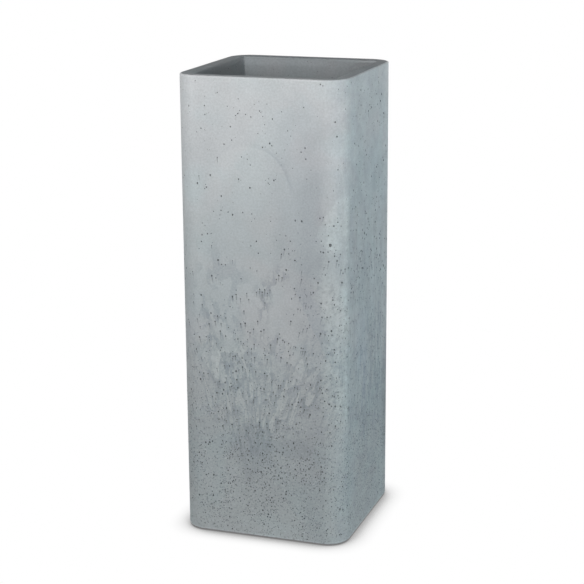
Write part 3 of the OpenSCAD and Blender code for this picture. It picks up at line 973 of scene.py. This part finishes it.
def dark_strokes(r):
    """Dark strokes, strongest where the paste is torn open."""
    strokes = r.noise(0.0040, 2, 0.5, 0.3, r.drawn_out(0.38, 0))
    lowest = 0.17 + (r.rough - 0.5) * 0.06
    streaky = (r.z - lowest).smooth(-0.015, 0.02) * r.z.smooth(0.365, 0.30)
    streaky *= r.wall * r.rough.smooth(0.36, 0.5) * 0.55
    for middle, size in TORN_SPOTS:
        streaky = r.math("MAXIMUM", streaky, r.oval(middle, size, 0.5, 1.3))
    r.tint(streaky * strokes.smooth(0.495, 0.55), (0.832, 0.852, 0.868))


def paste_scales(r):
    """Scales of paste that overlap downwards: each has painted shadow at its top, under the scale above,
    and is pale at its lower end."""
    drawn = r.drawn_out(0.42, 0.25)
    cells = r.add("ShaderNodeTexVoronoi")
    r.feed(cells.inputs["Vector"], drawn)
    cells.inputs["Scale"].default_value = 1 / 0.0085
    drop = r.axis(drawn, "Z") - r.axis(cells.outputs["Position"], "Z")
    scaly = r.z.within(0.165, 0.315, 0.018) * r.x.within(-0.075, 0.080, 0.02)
    scaly *= r.front
    # Painted shadow at the top of each scale, under the scale above
    r.tint(scaly * drop.smooth(0.0005, 0.0045), (0.905, 0.912, 0.92))
    r.tint(scaly * drop.smooth(-0.0005, -0.0035), (1.035, 1.035, 1.03))


def run_down_paste(r):
    """The paste's scalloped lower edge and its lobes, pale, with painted shadow under the edge and round
    the lobes.
    """
    uneven = r.noise(0.0045, 3, 0.55, 0.3) - 0.5
    edge = r.aside.line([(at, height * MM) for at, height in PASTE_EDGE])
    above = r.z - edge + uneven * 0.010
    on_fan = r.front * r.aside.smooth(-0.27, -0.22) * r.aside.smooth(0.40, 0.36)
    paste = above.smooth(-0.0008, 0.0012) * above.smooth(0.050, 0.010)
    r.tint(on_fan * paste, (1.065, 1.06, 1.05))
    # Painted shadow just under the paste's lower edge
    below = above.smooth(0.0010, -0.0012) * above.smooth(-0.030, -0.004)
    r.tint(on_fan * below, (0.885, 0.896, 0.905))
    nearest = 9.0
    for at, tip, half, length in LOBES:
        slope = (at - TAIL_FOCUS[0]) / (tip - TAIL_FOCUS[1])
        beside = (r.across - r.up * slope) / (half * MM)
        under = r.math("MINIMUM", r.z - (tip + half) * MM, 0.0) / (half * MM)
        over = r.math("MAXIMUM", r.z - (tip + length / 2) * MM, 0.0) / (length / 2 * MM)
        away = r.math("SQRT", beside * beside + under * under)
        nearest = r.math("MINIMUM", nearest, away + over)
    nearest += uneven * 1.4
    r.tint(r.front * nearest.smooth(1.02, 0.94), (1.07, 1.065, 1.055))
    # Painted shadow round the lobes
    painted_shadow_hem = nearest.smooth(0.97, 1.05) * nearest.smooth(2.3, 1.1)
    r.tint(r.front * painted_shadow_hem, (0.895, 0.907, 0.915))


def right_wall(r):
    """The right wall's veins, its bruise, its mottle and the streaks that rain has drawn."""
    veins = r.noise(0.0050, 4, 0.6, 0.5, r.placed((0, 2, 0), (1, 1, 0.25)))
    veined = r.z.within(0.11, 0.43, 0.04) * r.y.within(-0.050, 0.090, 0.03)
    r.tint(r.right * veined * veins.smooth(0.52, 0.60), (0.90, 0.905, 0.92))
    bruise = r.z.within(0.15, 0.27, 0.03) * r.y.within(-0.036, -0.008, 0.012)
    r.tint(r.right * bruise * veins.smooth(0.42, 0.54), (0.90, 0.905, 0.95))
    patchy = r.noise(0.016, 4, 0.6, 0.5, r.placed((3, 3, 3), (1, 1, 0.6)))
    r.tint(r.right * patchy.smooth(0.45, 0.60), (0.955, 0.955, 0.965))
    mottle = r.noise(0.0070, 4, 0.65, 0.6, r.placed((6, 1, 3), (1, 0.6, 1)))
    r.tint(r.right * mottle.smooth(0.51, 0.60), (0.945, 0.94, 0.955))
    r.tint(r.right * mottle.smooth(0.49, 0.40), (1.04, 1.045, 1.04))
    drawn = r.noise(0.0080, 4, 0.6, 0.0, r.placed((2, 4, 1), (1, 1, 0.08)))
    rained = r.right * r.rough.smooth(0.38, 0.52) * r.z.within(0.15, 0.58, 0.05)
    r.tint(rained * drawn.smooth(0.51, 0.60), (0.925, 0.93, 0.94))
    r.tint(rained * drawn.smooth(0.49, 0.40), (1.045, 1.05, 1.05))


def rim_top(r):
    """Painted shade: the rim's top is darker at the sides and the back."""
    rim_painted_shade = r.x.smooth(0.095, 0.112) * r.y.smooth(-0.20, 0.06)
    rim_painted_shade = r.math("MAXIMUM", rim_painted_shade, r.y.smooth(0.095, 0.112) * 0.85)
    rim_painted_shade = r.math("MAXIMUM", rim_painted_shade, r.x.smooth(-0.095, -0.112) * 0.55)
    flat_top = r.inner * r.z.smooth(TOP - 1.5 * MM, TOP - 0.5 * MM)
    r.tint(flat_top * rim_painted_shade, (0.73, 0.735, 0.74))


def fine_grain(r):
    """Fine grain, specks and chips that thicken towards the foot, pores and their tails."""
    shade = r.shade * r.noise(0.0014, 2, 0.6).vary(0.085)
    specks = r.noise(0.0016, 2, 0.5, 0.0, r.placed((2, 2, 2))).smooth(0.60, 0.66)
    shade *= 1.0 - specks * r.wall * r.height.smooth(0.55, 0.20) * 0.30
    chips = r.noise(0.0018, 2, 0.5, 0.0, r.placed((9, 2, 6))).smooth(0.63, 0.68)
    shade *= 1.0 + chips * r.wall * r.z.smooth(0.42, 0.18) * 0.14
    plain = r.noise(0.013, 2, 0.5, 0.0, r.placed((4, 7, 2))).smooth(0.44, 0.56, 0.14, 0.36)
    shade *= 1.0 - r.attribute("stain") * plain * (1.0 - r.crumbly * 0.7)
    # Inside the pores the colour is darker: partly dirt in them, partly painted shade of the hollows
    r.shade = shade * (1.0 - r.attribute("pit") * 0.66)


def concrete():
    r = Concrete()
    for step in (clouds, listed_patches, pour_arc, pale_flake, dark_blots, smooth_paste, dark_strokes,
                 paste_scales, run_down_paste, right_wall, rim_top, fine_grain):
        step(r)
    roughness = r.noise(0.03).smooth(0.3, 0.7, 0.80, 0.94)
    grain = r.bump(r.noise(0.0011, 3, 0.6), 0.10 * MM)
    normal = r.bump(r.noise(0.035, 2, 0.4), 0.5 * MM, grain)
    r.shader.inputs["Specular IOR Level"].default_value = 0.3
    return r.finish(r.scaled(r.colour, r.shade), roughness, normal)


def moulded_plastic(name, grey, grain_size):
    """Dark moulded plastic with a fine grain and a little dust."""
    r = Recipe(name)
    dust = r.noise(0.03, 4, 0.6).smooth(0.40, 0.80, 0.0, 0.15)
    base = (*grey, 1)
    pale = (*[0.35 * c + 0.06 for c in grey], 1)
    colour = r.mix(dust, base, pale)
    colour = r.scaled(colour, r.noise(grain_size * 2, 2).vary(0.08))
    roughness = r.noise(0.02, 3).smooth(0.3, 0.7, 0.42, 0.6)
    return r.finish(colour, roughness, r.bump(r.noise(grain_size, 2), 0.05 * MM))


def galvanised_wire():
    """Drawn steel wire with a dull zinc coat."""
    r = Recipe("galvanised_wire")
    spangle = r.noise(0.003, 3, 0.6, 0.4)
    colour = r.mix(spangle, (0.50, 0.51, 0.52, 1), (0.68, 0.69, 0.70, 1))
    roughness = spangle.smooth(0.3, 0.7, 0.28, 0.45)
    r.shader.inputs["Metallic"].default_value = 1.0
    return r.finish(colour, roughness, r.bump(r.noise(0.0008, 2), 0.02 * MM))


def rubber():
    """Black rubber with a faint bloom."""
    r = Recipe("rubber")
    bloom = r.noise(0.008, 4, 0.6).smooth(0.4, 0.8, 0.0, 0.4)
    colour = r.mix(bloom, (0.020, 0.020, 0.022, 1), (0.045, 0.045, 0.048, 1))
    roughness = r.noise(0.006, 3).smooth(0.3, 0.7, 0.6, 0.8)
    return r.finish(colour, roughness, r.bump(r.noise(0.0008, 2), 0.05 * MM))


def dress(node, material):
    """Gives a CAD node its material."""
    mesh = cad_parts[node].data
    mesh.materials.clear()
    mesh.materials.append(material)


# The photograph's camera
CAMERA_TURN = 0.33422
CAMERA_RISE = 0.26052
CAMERA_ROLL = -0.00661
CAMERA_DISTANCE = 2.53213
CAMERA_ASIDE = 5.82 * MM
CAMERA_UP = 3.96 * MM
LENS = 101.5
SENSOR_W = 36


def add_camera():
    turn, rise = CAMERA_TURN, CAMERA_RISE
    back = Vector((math.sin(turn) * math.cos(rise), -math.cos(turn) * math.cos(rise), math.sin(rise)))
    level = (-back).cross(Vector((0, 0, 1))).normalized()
    upward = level.cross(-back)
    right = level * math.cos(CAMERA_ROLL) + upward * math.sin(CAMERA_ROLL)
    up = upward * math.cos(CAMERA_ROLL) - level * math.sin(CAMERA_ROLL)
    data = bpy.data.cameras.new("camera")
    data.lens = LENS
    data.sensor_width = SENSOR_W
    camera = bpy.data.objects.new("camera", data)
    bpy.context.scene.collection.objects.link(camera)
    place = Vector((0, 0, TOP / 2)) + back * CAMERA_DISTANCE + right * CAMERA_ASIDE + up * CAMERA_UP
    camera.matrix_world = Matrix.Translation(place) @ Matrix((right, up, back)).transposed().to_4x4()
    bpy.context.scene.camera = camera


# The width of the lamps, the height they are aimed at, and the tint of the two at the right
LAMP_W = 0.7
LAMP_AIM = 0.45
SIDE_TINT = (0.90, 1.0, 1.04)


def softbox(name, turn, distance, height, power, tint=(1, 1, 1)):
    """A square lamp at an angle from the front, aimed at the planter."""
    data = bpy.data.lights.new(name, "AREA")
    data.shape = "SQUARE"
    data.size = LAMP_W
    data.energy = power
    data.color = tint
    lamp = bpy.data.objects.new(name, data)
    bpy.context.scene.collection.objects.link(lamp)
    angle = math.radians(turn)
    place = Vector((math.sin(angle) * distance, -math.cos(angle) * distance, height))
    lamp.location = place
    lamp.rotation_euler = (Vector((0, 0, LAMP_AIM)) - place).to_track_quat("-Z", "Y").to_euler()


def add_lamps():
    softbox("front", 0, 1.4, 0.9, 17.1)
    softbox("side_low", 95, 1.6, 0.35, 8.6, SIDE_TINT)
    softbox("side_high", 95, 1.4, 0.9, 2.9, SIDE_TINT)
    softbox("top", 0, 0.01, 2.5, 6.5)
    softbox("back", 180, 1.7, 0.5, 21)
    softbox("left", -110, 1.7, 0.5, 8)


def add_world():
    world = bpy.data.worlds.new("studio")
    bpy.context.scene.world = world
    world.use_nodes = True
    graph = Graph(world.node_tree)
    background = graph.nodes["Background"]
    background.inputs["Color"].default_value = (1, 1, 1, 1)
    graph.feed(background.inputs["Strength"], graph.seen_directly())


FLOOR_W = 12
# How far off a piece still darkens the floor
SHADOW_REACH = 38 * MM
# How bright the floor looks where so much of its surroundings is open
SHADOW_FALL = (
    (0.30, 0.20), (0.50, 0.42), (0.57, 0.51), (0.69, 0.75),
    (0.78, 0.87), (0.86, 0.93), (0.93, 0.975), (1.0, 1.0),
)


def add_floor():
    """A pale floor that looks white and keeps the planter's contact shadow."""
    bpy.ops.mesh.primitive_plane_add(size=FLOOR_W)
    floor = bpy.context.object
    floor.name = "floor"
    material = bpy.data.materials.new("floor")
    material.use_nodes = True
    graph = Graph(material.node_tree)
    plain = graph.nodes["Principled BSDF"]
    plain.inputs["Base Color"].default_value = (0.5, 0.5, 0.5, 1)
    plain.inputs["Roughness"].default_value = 1.0
    shade = graph.add("ShaderNodeAmbientOcclusion", samples=16)
    shade.inputs["Distance"].default_value = SHADOW_REACH
    greys = [(openness, (brightness,) * 3) for openness, brightness in SHADOW_FALL]
    white = graph.add("ShaderNodeEmission")
    graph.feed(white.inputs["Color"], graph.ramp(shade.outputs["Color"], greys))
    choice = graph.add("ShaderNodeMixShader")
    for key, value in enumerate((graph.seen_directly(), plain.outputs[0], white.outputs[0])):
        graph.feed(choice.inputs[key], value)
    graph.feed(graph.nodes["Material Output"].inputs["Surface"], choice.outputs[0])
    floor.data.materials.append(material)


bpy.context.scene.view_settings.view_transform = "Standard"
add_camera()
add_lamps()
add_world()
add_floor()
shell_piece().data.materials.append(concrete())
dress("insert", moulded_plastic("insert_plastic", (0.035, 0.037, 0.040), 0.0012))
dress("drain_grid", moulded_plastic("grid_plastic", (0.060, 0.063, 0.068), 0.0010))
dress("drain_plug", rubber())
wire = galvanised_wire()
for side in ("left", "right"):
    dress("handle_" + side, wire)
pad_rubber = rubber()
for corner in ("front_left", "front_right", "back_left", "back_right"):
    dress("foot_" + corner, pad_rubber)
